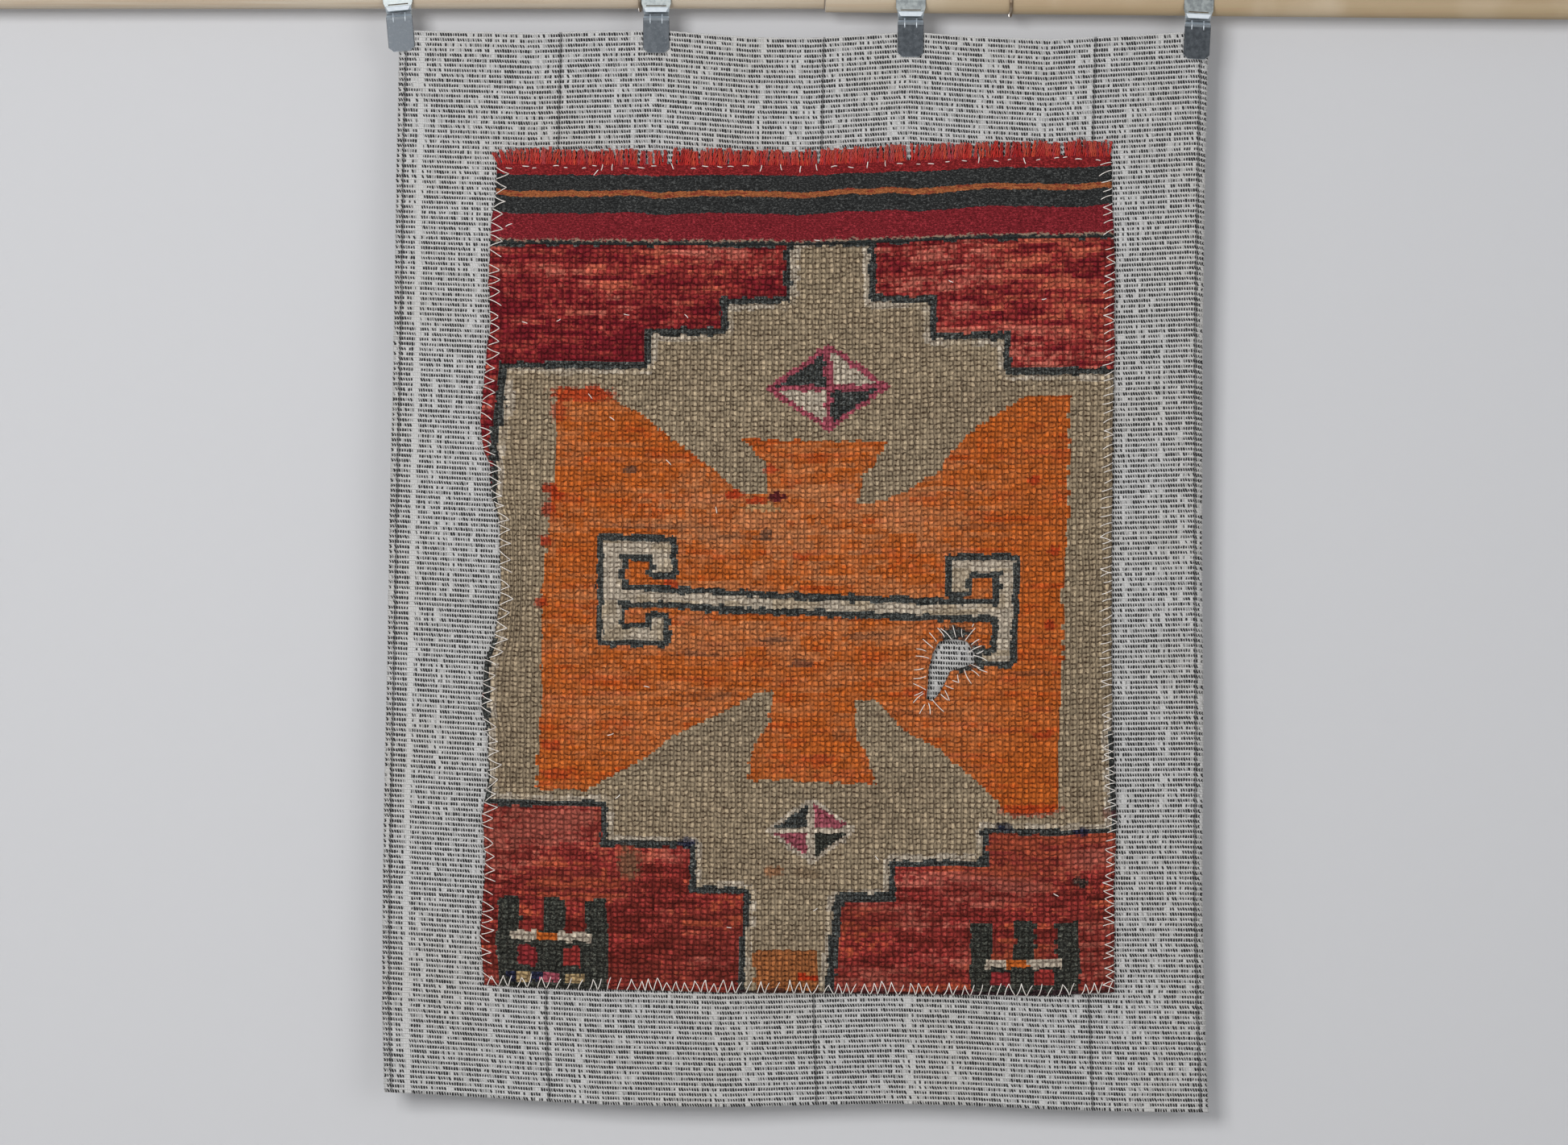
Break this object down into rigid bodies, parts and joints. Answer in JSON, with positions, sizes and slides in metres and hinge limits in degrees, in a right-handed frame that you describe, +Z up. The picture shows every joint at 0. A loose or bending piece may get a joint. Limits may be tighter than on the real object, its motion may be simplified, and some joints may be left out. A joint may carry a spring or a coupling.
{
  "type": "tapestry rug on a hanging rail",
  "caption": "Old pile rug fragment with a flat-woven striped end and fringe, sewn on a flecked backing cloth and clipped to a round wooden rail in wire hooks.",
  "frame": {"origin": "top of the rail, in the middle of its length", "axes": "+X along the rail to the viewer's right, +Y from the cloth's face towards the wall, +Z up"},
  "size_m": [1.5204, 0.0385, 1.0981],
  "materials": {
    "backing": "coarse hand-woven off-white cotton flecked with black",
    "rug_pile": "worn knotted wool pile in orange, beige and red with a flat-woven end",
    "fringe": "short cut wool warps in coral red",
    "rail_wood": "pale planed dowel, matt",
    "hook_wire": "drawn wire",
    "clip_steel": "zinc-plated sheet steel"
  },
  "bodies": {
    "root": {"backing_cloth": "backing", "rug_fragment": "rug_pile", "fringe": "fringe", "rail_left": "rail_wood", "rail_right": "rail_wood", "hook_left": "hook_wire", "hook_right": "hook_wire", "clip_1_strap": "clip_steel", "clip_1_jaw": "clip_steel", "clip_1_lever": "clip_steel", "clip_2_strap": "clip_steel", "clip_2_jaw": "clip_steel", "clip_2_lever": "clip_steel", "clip_3_strap": "clip_steel", "clip_3_jaw": "clip_steel", "clip_3_lever": "clip_steel", "clip_4_strap": "clip_steel", "clip_4_jaw": "clip_steel", "clip_4_lever": "clip_steel"}
  },
  "joints": []
}
